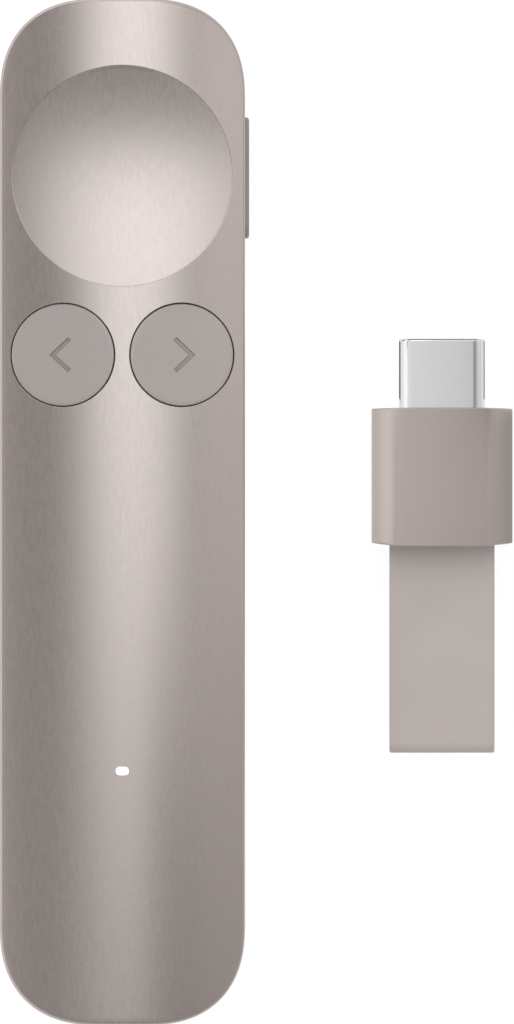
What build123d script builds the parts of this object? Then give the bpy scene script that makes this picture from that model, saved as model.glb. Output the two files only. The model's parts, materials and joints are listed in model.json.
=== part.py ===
from build123d import *
import math
import os

# Wireless presentation clicker with its plug-in receiver, in millimetres.
# The clicker lies on its back: the arrow buttons face +Z, its nose points to +Y and its right flank to +X.
# The origin is the centre of the flat back. The receiver lies on the same surface, to the right.

# ---------------------------------------------------------------- driving dimensions: clicker casing
body_length = 98.3
body_width = 23.5
body_height = 12.0
crown_radius = 36.0  # the front is an arc across the width
front_edge_chamfer = 0.65
back_edge_chamfer = 1.2
wall = 1.2
parting_height = 3.2  # the back cover ends here and the front shell starts
corner_radius = 8.05  # of the plan outline
lip_thickness = 0.6
lip_drop = 0.9  # the cover's lip starts this far under the parting line
lip_rise = 0.65  # and reaches this far over it
catch_length = 4.0
catch_places = (-24.0, -4.0, 16.0)

# ---------------------------------------------------------------- driving dimensions: dish
dish_y = 32.2
dish_radius = 10.6
dish_depth = 0.8  # in the middle; the rim follows the crown
dish_step = 0.04  # height of the crisp step round the dish
dish_pad_radius = 11.4
dish_pad_height = 9.3  # underside of the thick web behind the dish

# ---------------------------------------------------------------- driving dimensions: arrow buttons
button_x = 5.7
button_y = 15.15
button_radius = 4.95
button_gap = 0.13
button_recess = 0.2  # the flat face lies this far under the crown's tangent plane
button_edge_chamfer = 0.12
button_bottom = 8.9
bore_bottom = 8.4
push_post_half = 1.1  # half the side of the square post that meets the switch
chevron_run = 1.52  # from the arrow's point to its arm ends, along the middle of the strokes
chevron_height = 3.1
chevron_stroke = 0.4
chevron_depth = 0.25
chevron_shift = 0.25  # the arrow sits this far outwards of the cap's centre
lug_width = 3.0
lug_reach = 0.75

# ---------------------------------------------------------------- driving dimensions: side key
key_y = 32.1
key_z = 6.0
key_length = 11.65
key_height = 2.6
key_proud = 0.4
key_gap = 0.1
key_edge_chamfer = 0.2
key_flange = 0.6
key_flange_reach = 0.95  # at each end; above and below it is a little less

# ---------------------------------------------------------------- driving dimensions: status window
window_y = -24.8
window_length = 1.2
window_height = 0.75
pipe_half_width = 0.9
pipe_half_length = 0.7
pipe_shoulder = 10.7  # above it the light pipe is as small as the window

# ---------------------------------------------------------------- driving dimensions: dock and charge port
dock_z = 5.8
dock_width = 14.2
dock_height = 7.3
dock_corner = 3.2
dock_depth = 13.55
dock_wall = 0.95
dock_lead = 0.2  # the casing's mouth is this much wider all round than the sleeve inside it
port_width = 8.94
port_height = 3.16
port_sheet = 0.3
port_length = 7.6
port_outer_corner = 1.45
port_inner_corner = 1.2
tongue_width = 6.69
tongue_thickness = 0.7
contact_pitch = 0.5
contact_width = 0.28
contact_count = 12  # in each row

# ---------------------------------------------------------------- driving dimensions: insides
frame_floor = 0.8
board_thickness = 0.8
main_board_low = 4.6
cell_length = 27.6
cell_width = 16.0
cell_thickness = 4.8
screw_shank = 0.55
screw_head = 1.15
screw_clearance = 0.05
boss_half = 1.4  # half the side of a square boss under a board
board_hole = 0.75
switch_half = 2.1
switch_height = 1.5
plunger_radius = 0.9
plunger_rise = 1.9  # top of a plunger above the board
side_plunger_radius = 0.65
side_plunger_rise = 0.95
flex_width = 3.8
flex_thickness = 0.12
flex_height = 7.62
motor_thickness = 2.3
can_sheet = 0.2
fit_gap = 0.03

# ---------------------------------------------------------------- driving dimensions: receiver
receiver_x = 30.7
receiver_width = 13.56
receiver_thickness = 6.9
receiver_corner = 3.0
receiver_front = 10.07
receiver_tail = -3.24
receiver_tail_arch = 0.45
receiver_front_arch = 0.15
receiver_wall = 0.7
receiver_edge_chamfer = 0.2
plug_tip = 16.65
plug_root = 5.6
plug_width = 8.25
plug_thickness = 2.4
plug_corner = 1.1
plug_sheet = 0.3
plug_tip_chamfer = 0.1
strap_width = 10.1
strap_layer = 0.85
strap_slit = 0.2
strap_end = -23.17
strap_pin_radius = 0.7
strap_pin_y = -1.4
strap_lift = 30.0  # degrees that the strap can rise
strap_drop = 5.0  # degrees that it can sink

# ---------------------------------------------------------------- derived places
half_length = body_length / 2
half_width = body_width / 2
crown_centre = body_height - crown_radius
frame_top = wall + frame_floor
main_board_top = main_board_low + board_thickness
port_low = dock_z - port_height / 2
tail_board_low = port_low - board_thickness
dock_end = -half_length + dock_depth
port_back = dock_end + port_length
receiver_z = receiver_thickness / 2
strap_thickness = 2 * strap_layer + strap_slit
button_sides = {"prev": -1, "next": 1}
main_board_posts = [(-7.2, 20.2), (5.6, 41.2)]
tail_board_posts = [(5.4, -23.2)]


# ---------------------------------------------------------------- helpers
def prism_x(face, low, high):
    """Extrude a face drawn in (y, z) from x = low to x = high."""
    return extrude(Plane.YZ.offset(low) * face, high - low)


def prism_y(face, low, high):
    """Extrude a face drawn in (x, z) from y = low to y = high."""
    return extrude(Plane.XZ.offset(-high) * face, high - low)


def prism_z(face, low, high):
    """Extrude a face drawn in (x, y) from z = low to z = high."""
    return extrude(Plane.XY.offset(low) * face, high - low)


def block(x, y, z):
    """A box between the pairs of limits x, y and z."""
    centre = Pos((x[0] + x[1]) / 2, (y[0] + y[1]) / 2, (z[0] + z[1]) / 2)
    return centre * Box(x[1] - x[0], y[1] - y[0], z[1] - z[0])


def post(x, y, radius, low, high):
    """An upright cylinder from z = low to z = high."""
    return Pos(x, y, (low + high) / 2) * Cylinder(radius, high - low)


def height_of_crown(x, radius=crown_radius):
    """Height of the crowned front, or of a surface under it, at a distance x from the centre line."""
    return crown_centre + math.sqrt(radius * radius - x * x)


def casing_outline(inset=0.0):
    """Plan outline of the casing, or one parallel to it: straight flanks, short flat ends, round corners."""
    return RectangleRounded(body_width - 2 * inset, body_length - 2 * inset, corner_radius - inset)


def crown_cylinder(radius):
    """The long cylinder whose upper side is the crowned front."""
    return Pos(0, 0, crown_centre) * Rot(90, 0, 0) * Cylinder(radius, 2 * body_length)


def round_slot(width, height, corner):
    """A rounded rectangle in the plane of a cross-section."""
    return RectangleRounded(width, height, corner)


def group(pieces):
    """Several separate solids that share one node."""
    return Compound(children=[piece for piece in pieces])


def screw(x, y, head_low, head_high, tip):
    """A small screw: a round head, and a plain shank down or up to its tip."""
    head = post(x, y, screw_head, head_low, head_high)
    return head + post(x, y, screw_shank, min(tip, head_high), max(tip, head_low))


# ---------------------------------------------------------------- casing: the closed form, then its two halves
def casing_form():
    """The outside of the closed casing as one solid."""
    form = prism_z(casing_outline(), 0, body_height + 1) & crown_cylinder(crown_radius)
    form = chamfer(form.faces().sort_by(Axis.Z)[-1].edges(), front_edge_chamfer)
    return chamfer(form.faces().sort_by(Axis.Z)[0].edges(), back_edge_chamfer)


def casing_room():
    """The space inside the casing, under the roof and over the floor."""
    room = prism_z(casing_outline(wall), wall, body_height) & crown_cylinder(crown_radius - wall)
    pad = post(0, dish_y, dish_pad_radius, dish_pad_height, body_height + 1)
    return room - pad


def dish_cutter():
    """The shallow dish: hollow along the casing and still a little crowned across it, inside a round rim."""
    low = body_height - dish_depth - dish_step
    along = (dish_radius ** 2 + dish_depth ** 2) / (2 * dish_depth)
    fall = body_height - dish_depth - height_of_crown(dish_radius)
    across = (dish_radius ** 2 + fall ** 2) / (2 * fall)
    ring = Pos(0, dish_y, low - across) * Rot(90, 0, 0) * Torus(across + along, along)
    return ring & post(0, dish_y, dish_radius, low - 2, body_height + 1)


def dock_mouth():
    """The opening in the tail end, through both casing halves."""
    mouth = round_slot(dock_width + 2 * dock_lead, dock_height + 2 * dock_lead, dock_corner + dock_lead)
    return prism_y(Pos(0, dock_z) * mouth, -half_length - 1, -half_length + 4)


def sleeve_blank(gap=0.0):
    """The outside of the dock sleeve, as a full block."""
    width = dock_width + 2 * (dock_wall + gap)
    height = dock_height + 2 * (dock_wall + gap)
    return prism_y(Pos(0, dock_z) * round_slot(width, height, dock_corner + dock_wall), -half_length, dock_end + 1)


def catches(depth, grow):
    """Snap catches of the back cover, or with grow the pockets that take them."""
    side = half_width - wall - fit_gap
    reach = catch_length / 2 + grow
    heights = (parting_height + 0.2 - grow, parting_height + 0.55 + grow)
    pieces = []
    for y in catch_places:
        for hand in (-1, 1):
            x = sorted((hand * (side - 0.3), hand * (side + depth)))
            pieces.append(block(x, (y - reach, y + reach), heights))
    return pieces


def make_front_shell(form, room):
    """Machined metal shell: crowned front, dish, bores, flanks and the dock's upper lip."""
    above = block((-20, 20), (-60, 60), (parting_height, 20))
    shell = (form & above) - room - dish_cutter() - dock_mouth()
    for hand in button_sides.values():
        shell -= post(hand * button_x, button_y, button_radius + button_gap, bore_bottom, body_height + 1)
    window = SlotOverall(window_length + 2 * fit_gap, window_height + 2 * fit_gap)
    shell -= prism_z(Pos(0, window_y) * window, 8, body_height + 1)
    key_hole = SlotOverall(key_length + 2 * key_gap, key_height + 2 * key_gap)
    shell -= prism_x(Pos(key_y, key_z) * key_hole, half_width - 2 * wall, half_width + 1)
    for pocket in catches(0.3, 0.1):
        shell -= pocket
    return shell


def make_back_cover(form, room):
    """Tray that closes the back, with a lip inside the shell and six snap catches."""
    below = block((-20, 20), (-60, 60), (-1, parting_height))
    cover = (form & below) - room
    lip_low = parting_height - lip_drop
    lip_high = parting_height + lip_rise
    lip_inner = prism_z(casing_outline(wall + lip_thickness), 0, 2 * parting_height)
    cover += prism_z(casing_outline(wall - 0.05), lip_low, parting_height) - lip_inner
    cover += prism_z(casing_outline(wall + fit_gap), lip_low, lip_high) - lip_inner
    for catch in catches(0.22, 0.0):
        cover += catch
    return cover - dock_mouth() - sleeve_blank(0.05)


def make_dock_sleeve(room):
    """Moulded liner of the dock: a rounded tube with an end wall round the charge port."""
    tube = sleeve_blank() & room & prism_z(casing_outline(wall + fit_gap), 0, body_height)
    bore = prism_y(Pos(0, dock_z) * round_slot(dock_width, dock_height, dock_corner), -half_length - 1, dock_end)
    window = round_slot(port_width + 0.1, port_height + 0.1, 1.5)
    return tube - bore - prism_y(Pos(0, dock_z) * window, dock_end - 1, dock_end + 2)


def make_mid_frame():
    """Inner tray: floor, rails round the cell and posts for the two boards."""
    front = block((-20, 20), (dock_end + 1.3, 60), (0, 20))
    frame = prism_z(casing_outline(2.0), wall, frame_top) & front
    rail_x = cell_width / 2 + 0.3
    rail_y = (-20.7, 7.5)
    for hand in (-1, 1):
        rail = sorted((hand * rail_x, hand * (rail_x + 0.8)))
        frame += block(rail, rail_y, (wall, 6.0))
    for y in ((rail_y[0], rail_y[0] + 0.7), (rail_y[1], rail_y[1] + 0.7)):
        frame += block((-6.6, 6.6), y, (wall, 3.6))
    for posts, top in ((main_board_posts, main_board_low), (tail_board_posts, tail_board_low)):
        for x, y in posts:
            frame += block((x - boss_half, x + boss_half), (y - boss_half, y + boss_half), (wall, top))
    for x, y in main_board_posts + tail_board_posts:
        frame -= post(x, y, screw_shank + screw_clearance, frame_top, main_board_low + 1)
    lighten = Pos(0, -7) * RectangleRounded(6.0, 16.0, 1.5)
    return frame - prism_z(lighten, 0, frame_top + 1)


def make_main_board():
    """Circuit board under the buttons and the dish."""
    span = block((-20, 20), (11.2, 44.2), (0, 20))
    board = prism_z(casing_outline(3.2), main_board_low, main_board_top) & span
    for x, y in main_board_posts:
        board -= post(x, y, board_hole, 0, 20)
    return board


def make_tail_board():
    """Small circuit board under the charge port and the status lamp."""
    outline = RectangleRounded(14.0, 12.9, 1.0)
    board = prism_z(Pos(0, dock_end + 1.2 + 12.9 / 2) * outline, tail_board_low, port_low)
    for x, y in tail_board_posts:
        board -= post(x, y, board_hole, 0, 20)
    return board


# ---------------------------------------------------------------- buttons, keys and switches
def chevron(hand):
    """The engraved arrow as an upright solid, pointing to the side given by hand."""
    run = chevron_run / 2
    rise = chevron_height / 2
    angle = math.atan2(rise, chevron_run)
    across = chevron_stroke / 2 * math.sin(angle)
    along = chevron_stroke / 2 * math.cos(angle)
    tip = chevron_stroke / 2 / math.sin(angle)
    upper = [(-run - tip, 0), (run - across, rise + along), (run + across, rise - along), (tip - run, 0)]
    lower = [(x, -y) for x, y in upper[2:0:-1]]
    outline = Polyline(*[(-hand * x, y) for x, y in upper + lower], close=True)
    return extrude(make_face(outline), 4)


def make_button(hand):
    """Round cap: flat face tilted to the crown, engraved arrow, two lugs and a push post."""
    x = hand * button_x
    cap = post(x, button_y, button_radius, button_bottom, body_height + 1)
    tilt = math.degrees(math.asin(button_x / crown_radius)) * hand
    face_height = height_of_crown(button_x) - button_recess
    top_plane = Pos(x, button_y, face_height) * Rot(0, tilt, 0)
    cap -= top_plane * Pos(0, 0, 5) * Box(20, 20, 10)
    cap = chamfer(cap.faces().sort_by(Axis.Z)[-1].edges(), button_edge_chamfer)
    cap -= top_plane * Pos(hand * chevron_shift, 0, -chevron_depth) * chevron(hand)
    lug_top = height_of_crown(button_x + lug_width / 2, crown_radius - wall) - 0.08
    for side in (-1, 1):
        reach = button_y + side * (button_radius + lug_reach)
        root = button_y + side * (button_radius - 0.6)
        lug_x = (x - lug_width / 2, x + lug_width / 2)
        cap += block(lug_x, sorted((root, reach)), (button_bottom, lug_top))
    post_x = (x - push_post_half, x + push_post_half)
    post_y = (button_y - push_post_half, button_y + push_post_half)
    return cap + block(post_x, post_y, (main_board_top + plunger_rise, button_bottom))


def make_switch(x, y):
    """Square tact switch body with a round well for its plunger."""
    top = main_board_top + switch_height
    body = block((x - switch_half, x + switch_half), (y - switch_half, y + switch_half), (main_board_top, top))
    body = chamfer(body.edges().filter_by(Axis.Z), 0.35)
    return body - post(x, y, plunger_radius + 0.05, main_board_top + 0.5, top + 0.5)


def make_switch_plunger(x, y):
    """Round plunger of a tact switch, which moves with the cap above it."""
    return post(x, y, plunger_radius, main_board_top + 0.8, main_board_top + plunger_rise)


def make_side_key():
    """Long key through the right flank, held by a flange inside."""
    inner = half_width - wall - 0.1
    face = half_width + key_proud
    key = prism_x(Pos(key_y, key_z) * SlotOverall(key_length, key_height), inner - key_flange, face)
    key = chamfer(key.faces().sort_by(Axis.X)[-1].edges(), key_edge_chamfer)
    flange = RectangleRounded(key_length + 2 * key_flange_reach, key_height + 1.1, 1.2)
    return key + prism_x(Pos(key_y, key_z) * flange, inner - key_flange, inner)


def make_side_switch():
    """Tact switch that lies on its side at the board's edge."""
    body = block((5.9, 8.3), (key_y - 1.8, key_y + 1.8), (main_board_top, main_board_top + 1.8))
    well = Pos(key_y, main_board_top + side_plunger_rise) * Circle(side_plunger_radius + 0.05)
    return body - prism_x(well, 7.4, 9)


def make_side_switch_plunger():
    """Plunger between the side switch and the key."""
    end = half_width - wall - 0.1 - key_flange
    return prism_x(Pos(key_y, main_board_top + side_plunger_rise) * Circle(side_plunger_radius), 7.75, end)


# ---------------------------------------------------------------- what sits on the boards
def make_light_pipe():
    """Clear bar from the status lamp up to the window in the front."""
    y = (window_y - pipe_half_length, window_y + pipe_half_length)
    pipe = block((-pipe_half_width, pipe_half_width), y, (port_low + 0.55, pipe_shoulder))
    light = Pos(0, window_y) * SlotOverall(window_length, window_height)
    return pipe + prism_z(light, pipe_shoulder - 0.2, body_height - 0.02)


def make_charge_port_shell():
    """Drawn steel shell of the charge port, open towards the dock."""
    outer = round_slot(port_width, port_height, port_outer_corner)
    inner = round_slot(port_width - 2 * port_sheet, port_height - 2 * port_sheet, port_inner_corner)
    tube = prism_y(Pos(0, dock_z) * outer, dock_end, port_back)
    return tube - prism_y(Pos(0, dock_z) * inner, dock_end - 1, port_back - port_sheet)


def make_charge_port_tongue():
    """Moulded tongue in the middle of the charge port."""
    back = port_back - port_sheet
    inner_width = port_width - 2 * port_sheet - 0.02
    base = round_slot(inner_width, port_height - 2 * port_sheet - 0.02, port_inner_corner)
    tongue = prism_y(Pos(0, dock_z) * base, back - 1.4, back)
    blade = round_slot(tongue_width, tongue_thickness, 0.2)
    return tongue + prism_y(Pos(0, dock_z) * blade, dock_end + 0.8, back - 1)


def contact_rows(x, y_limits, faces):
    """Two rows of flat contacts, one on each of the given pairs of heights."""
    half = contact_width / 2
    pieces = []
    for low, high in faces:
        for step in range(contact_count):
            centre = x + (step - (contact_count - 1) / 2) * contact_pitch
            pieces.append(block((centre - half, centre + half), y_limits, (low, high)))
    return group(pieces)


def make_flex():
    """Flat flexible lead over the cell, from the tail board to the main board."""
    path = [(-22.3, port_low + 0.5), (-21.4, port_low + 0.5), (-20.4, flex_height)]
    path += [(8.4, flex_height), (10.6, main_board_top + 0.6), (12.2, main_board_top + 0.6)]
    ribbon = trace(Polyline(*path), flex_thickness)
    return prism_x(ribbon, -flex_width / 2, flex_width / 2)


def make_flex_connectors():
    """The two low sockets that the flexible lead plugs into."""
    tail = block((-2.4, 2.4), (-23.1, -21.6), (port_low, port_low + 0.44))
    nose = block((-2.4, 2.4), (11.4, 12.9), (main_board_top, main_board_top + 0.54))
    return group([tail, nose])


def make_haptic_motor():
    """Flat rectangular vibration motor bonded under the dish."""
    motor = block((-4.5, 4.5), (25.0, 34.0), (dish_pad_height - motor_thickness, dish_pad_height))
    return chamfer(motor.edges().filter_by(Axis.Z), 0.8)


def make_shield_can():
    """Drawn can over the radio processor, on the underside of the main board."""
    low = main_board_low - 1.4
    can = block((-4.6, 4.6), (22.4, 31.6), (low, main_board_low))
    can = fillet(can.edges().filter_by(Axis.Z), 0.6)
    return can - block((-4.35, 4.35), (22.65, 31.35), (low + can_sheet, main_board_low))


# ---------------------------------------------------------------- receiver, made about its own axis
def receiver_section(inset=0.0):
    """Cross-section of the receiver housing: nearly flat faces and round flanks."""
    width = receiver_width - 2 * inset
    return round_slot(width, receiver_thickness - 2 * inset, receiver_corner - inset)


def arch_cylinder(end, arch, direction):
    """A wide upright cylinder that gives an end its shallow arch."""
    radius = ((receiver_width / 2) ** 2 + arch ** 2) / (2 * arch)
    return Pos(0, end - direction * radius, 0) * Cylinder(radius, 30)


def receiver_form(inset, end_inset):
    """The receiver housing as a full block, with both ends arched."""
    form = prism_y(receiver_section(inset), receiver_tail - 1, receiver_front + 1)
    form = form & arch_cylinder(receiver_tail + end_inset, receiver_tail_arch, -1)
    return form & arch_cylinder(receiver_front - end_inset, receiver_front_arch, 1)


def make_receiver_sleeve():
    """Outer sleeve of the receiver."""
    form = receiver_form(0, 0)
    ends = form.faces().sort_by(Axis.Y)
    form = chamfer(ends[0].edges() + ends[-1].edges(), receiver_edge_chamfer)
    return form - prism_y(receiver_section(receiver_wall), -10, 20)


def make_receiver_front_plate():
    """Plate that closes the sleeve round the plug."""
    plate = receiver_form(receiver_wall + fit_gap, 0.2) & block((-20, 20), (8.5, 20), (-10, 10))
    hole = round_slot(plug_width + 0.06, plug_thickness + 0.06, 1.15)
    return plate - prism_y(hole, 0, 20)


def make_receiver_tail_cap():
    """Tail cap with the flared slot that lets the strap swing about its pin."""
    cap = receiver_form(receiver_wall + fit_gap, 0.25) & block((-20, 20), (-10, 0.9), (-10, 10))
    half_slot = strap_width / 2 + 0.15
    mouth = receiver_tail - 0.5
    run = strap_pin_y - mouth
    up = run * math.tan(math.radians(strap_lift)) + strap_thickness / 2 / math.cos(math.radians(strap_lift))
    down = run * math.tan(math.radians(strap_drop)) + strap_thickness / 2
    flare = Polyline(
        (strap_pin_y, 1.3),
        (strap_pin_y, -1.3),
        (mouth, -down - 0.15),
        (mouth, up + 0.1),
        close=True,
    )
    cap -= prism_x(make_face(flare), -half_slot, half_slot)
    cap -= prism_x(Pos(strap_pin_y, 0) * Circle(strap_eye_radius() + 0.15), -half_slot, half_slot)
    return cap - prism_x(Pos(strap_pin_y, 0) * Circle(strap_pin_radius + fit_gap), -5.95, 5.95)


def strap_eye_radius():
    """Outer radius of the band where it goes round the pin."""
    return strap_pin_radius + 0.05 + strap_layer


def make_strap():
    """Flat band laid double: round the pin at one end, folded at the other."""
    half = strap_thickness / 2
    body = Pos((strap_pin_y + strap_end + half) / 2, 0) * Rectangle(strap_pin_y - strap_end - half, strap_thickness)
    band = body + Pos(strap_end + half, 0) * Circle(half)
    band += Pos(strap_pin_y, 0) * Circle(strap_eye_radius())
    slit = Pos((strap_pin_y + strap_end + half) / 2, 0) * Rectangle(strap_pin_y - strap_end - half, strap_slit)
    slit += Pos(strap_pin_y, 0) * Circle(strap_pin_radius + 0.05)
    return prism_x(band - slit, -strap_width / 2, strap_width / 2)


def make_plug_shell():
    """Drawn steel shell of the plug, open at its tip."""
    tube = prism_y(round_slot(plug_width, plug_thickness, plug_corner), plug_root, plug_tip)
    tube = chamfer(tube.faces().sort_by(Axis.Y)[-1].edges(), plug_tip_chamfer)
    return tube - prism_y(round_slot(plug_width - 2 * plug_sheet, plug_thickness - 2 * plug_sheet, 0.85), 0, 20)


def make_plug_core():
    """Moulded core of the plug, with the slot that takes a port's tongue."""
    core = round_slot(plug_width - 2 * plug_sheet - 0.04, plug_thickness - 2 * plug_sheet - 0.04, 0.8)
    body = prism_y(core, plug_root, plug_tip - 0.25)
    return body - prism_y(RectangleRounded(6.8, 0.9, 0.3), plug_tip - 5.2, 20)


def make_receiver_board():
    """Circuit board in the receiver, between the plug and the tail cap."""
    return block((-5.3, 5.3), (1.0, 8.4), (-0.9, -0.3)) - block((-4.2, 4.2), (5.5, 9), (-2, 2))


# ---------------------------------------------------------------- all nodes
form = casing_form()
room = casing_room()
nodes = {
    "front_shell": make_front_shell(form, room),
    "back_cover": make_back_cover(form, room),
    "dock_sleeve": make_dock_sleeve(room),
    "mid_frame": make_mid_frame(),
    "main_board": make_main_board(),
    "tail_board": make_tail_board(),
    "side_key": make_side_key(),
    "side_switch": make_side_switch(),
    "side_switch_plunger": make_side_switch_plunger(),
    "light_pipe": make_light_pipe(),
    "charge_port_shell": make_charge_port_shell(),
    "charge_port_tongue": make_charge_port_tongue(),
    "flex_lead": make_flex(),
    "flex_connectors": make_flex_connectors(),
    "haptic_motor": make_haptic_motor(),
    "shield_can": make_shield_can(),
}
for name, hand in button_sides.items():
    nodes[name + "_button"] = make_button(hand)
    nodes[name + "_switch"] = make_switch(hand * button_x, button_y)
    nodes[name + "_switch_plunger"] = make_switch_plunger(hand * button_x, button_y)

tongue_faces = [(dock_z - 0.38, dock_z - 0.35), (dock_z + 0.35, dock_z + 0.38)]
nodes["charge_port_contacts"] = contact_rows(0, (dock_end + 1.0, dock_end + 4.8), tongue_faces)
board_screws = [screw(x, y, main_board_top, main_board_top + 0.6, 2.4) for x, y in main_board_posts]
board_screws += [screw(x, y, port_low, port_low + 0.6, 2.4) for x, y in tail_board_posts]
nodes["board_screws"] = group(board_screws)

cell_low = frame_top + 0.3
cell_y = (-19.9, -19.9 + cell_length - 0.3)
cell = block((-cell_width / 2, cell_width / 2), cell_y, (cell_low, cell_low + cell_thickness))
nodes["battery_cell"] = fillet(cell.edges().filter_by(Axis.Y), 1.2)
nodes["battery_pad"] = block((-6.5, 6.5), (-18.0, 5.0), (frame_top, cell_low))
nodes["battery_connector"] = block((-2.6, 2.6), (12.0, 15.2), (main_board_low - 1.3, main_board_low))
nodes["motion_sensor"] = block((-1.5, 1.5), (17.4, 19.9), (main_board_low - 0.85, main_board_low))
nodes["radio_chip"] = block((-3.0, 3.0), (24.0, 30.0), (main_board_low - 0.85, main_board_low))
nodes["chip_antenna"] = block((-2.6, 2.6), (41.8, 43.4), (main_board_top, main_board_top + 1.0))
nodes["force_sensor"] = block((-5.5, 5.5), (35.5, 40.0), (dish_pad_height - 0.35, dish_pad_height))
nodes["status_led"] = block((-0.8, 0.8), (window_y - 0.4, window_y + 0.4), (port_low, port_low + 0.5))

receiver_nodes = {
    "receiver_sleeve": make_receiver_sleeve(),
    "receiver_front_plate": make_receiver_front_plate(),
    "receiver_tail_cap": make_receiver_tail_cap(),
    "receiver_board": make_receiver_board(),
    "receiver_chip": block((-2.5, 2.5), (1.4, 5.2), (-0.3, 0.6)),
    "plug_shell": make_plug_shell(),
    "plug_core": make_plug_core(),
    "plug_contacts": contact_rows(0, (plug_tip - 5.0, plug_tip - 1.2), [(-0.45, -0.4), (0.4, 0.45)]),
    "strap_pin": prism_x(Pos(strap_pin_y, 0) * Circle(strap_pin_radius), -5.9, 5.9),
    "receiver_strap": make_strap(),
}
for name, shape in receiver_nodes.items():
    nodes[name] = Pos(receiver_x, 0, receiver_z) * shape

os.makedirs("parts", exist_ok=True)
for name, shape in nodes.items():
    export_step(shape, "parts/" + name + ".step")
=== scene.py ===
# %% [markdown]
# # A presentation clicker and its plug-in receiver
# The clicker is a slim metal casing with a round dish for the thumb, two arrow buttons and a key on its
# flank. Beside it lies the receiver: a steel plug, a small metal sleeve and a soft pull strap.
# The frame holds every piece at its real size and place. Here each visible piece gets its finished form
# and its finish, and nothing that the frame holds is moved.

# %% Start from the frame
import json
import math

import bmesh
import bpy
from mathutils import Matrix, Vector


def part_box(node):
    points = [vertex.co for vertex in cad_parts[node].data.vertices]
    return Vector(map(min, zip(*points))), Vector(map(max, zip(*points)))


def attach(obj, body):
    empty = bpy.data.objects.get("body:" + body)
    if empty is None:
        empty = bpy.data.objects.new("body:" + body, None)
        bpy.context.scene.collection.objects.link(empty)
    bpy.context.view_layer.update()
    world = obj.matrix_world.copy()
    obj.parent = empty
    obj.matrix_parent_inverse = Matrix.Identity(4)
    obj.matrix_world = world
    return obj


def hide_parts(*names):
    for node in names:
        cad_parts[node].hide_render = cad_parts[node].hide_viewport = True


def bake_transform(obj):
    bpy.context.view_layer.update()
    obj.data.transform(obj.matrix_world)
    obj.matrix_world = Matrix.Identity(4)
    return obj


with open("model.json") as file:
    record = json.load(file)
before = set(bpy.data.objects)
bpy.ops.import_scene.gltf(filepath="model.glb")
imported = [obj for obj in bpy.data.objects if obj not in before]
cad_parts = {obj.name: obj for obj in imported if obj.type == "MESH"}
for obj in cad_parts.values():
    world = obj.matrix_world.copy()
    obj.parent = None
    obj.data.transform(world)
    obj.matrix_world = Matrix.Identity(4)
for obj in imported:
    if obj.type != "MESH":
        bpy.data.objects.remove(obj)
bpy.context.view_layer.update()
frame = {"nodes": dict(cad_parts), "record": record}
MM = 0.001

# %% [markdown]
# ## Sizes
# What the frame already knows is read from its boxes. Only the radii and the small clearances, which a
# box can't tell, are written here. All of them are in millimetres.

# %% Sizes from the frame, and the radii it can't tell


def box_mm(node):
    """Lowest and highest corner of a node, in millimetres."""
    low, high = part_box(node)
    return low / MM, high / MM


shell_low, shell_high = box_mm("front_shell")
casing_length = shell_high.y - shell_low.y
casing_width = shell_high.x - shell_low.x
casing_height = shell_high.z
parting = shell_low.z
corner_reach = 9.6
corner_power = 2.41
crown_radius = 36.0
front_edge = 0.35
back_edge = 2.0
wall = 1.2
dish_y = 32.2
dish_radius = 10.6
dish_depth = 0.8
dish_step = 0.04
dish_lean = math.radians(1.25)
bore_gap = 0.09
print("casing", round(casing_length, 2), round(casing_width, 2), round(casing_height, 2), "mm")

# %% [markdown]
# ## The camera
# The object is seen straight from the front. A long lens far away keeps the flanks hidden, as they are
# to someone who looks squarely at a flat thing on a table.

# %% Camera
view_height = 98.46 * MM
view_centre = Vector((12.9, 0.0, 5.0)) * MM
camera_distance = 1.6
camera = bpy.data.objects.new("camera", bpy.data.cameras.new("camera"))
bpy.context.scene.collection.objects.link(camera)
bpy.context.scene.camera = camera
camera.location = view_centre + Vector((0, 0, camera_distance))
camera.data.lens = camera.data.sensor_width * camera_distance / view_height
camera.data.clip_start = 0.1
camera.data.clip_end = 20
print("lens", round(camera.data.lens), "mm")

# %% [markdown]
# ## Tools: meshes from rings
# Most pieces here are a stack of closed loops: a cap is circles, a plug is rounded rectangles. One
# helper joins such loops with faces, closes the ends and turns the faces outwards.

# %% Mesh helpers


def new_object(name, mesh):
    """Put a mesh into the scene."""
    piece = bpy.data.objects.new(name, mesh)
    bpy.context.scene.collection.objects.link(piece)
    return piece


def finish_mesh(bm, name, sharp_angle=30):
    """Weld, point the faces outwards, shade smooth except at real edges, and make the object."""
    bmesh.ops.remove_doubles(bm, verts=bm.verts, dist=0.0005 * MM)
    bmesh.ops.dissolve_degenerate(bm, edges=bm.edges, dist=0.0002 * MM)
    bmesh.ops.recalc_face_normals(bm, faces=bm.faces)
    mesh = bpy.data.meshes.new(name)
    bm.to_mesh(mesh)
    bm.free()
    smooth_by_angle(mesh, sharp_angle)
    return new_object(name, mesh)


def smooth_by_angle(mesh, sharp_angle):
    """Smooth shading, with edges kept sharp where the faces turn by more than an angle."""
    mesh.shade_smooth()
    mesh.set_sharp_from_angle(angle=math.radians(sharp_angle))


def stack(name, loops, ring=False):
    """Join closed loops of equally many points, in millimetres; ring joins the last loop to the first."""
    bm = bmesh.new()
    rows = [[bm.verts.new(Vector(point) * MM) for point in loop] for loop in loops]
    pairs = list(zip(rows, rows[1:]))
    if ring:
        pairs.append((rows[-1], rows[0]))
    else:
        bm.faces.new(rows[0])
        bm.faces.new(rows[-1])
    count = len(rows[0])
    for lower, upper in pairs:
        for i in range(count):
            j = (i + 1) % count
            bm.faces.new((lower[i], lower[j], upper[j], upper[i]))
    return finish_mesh(bm, name)


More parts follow.
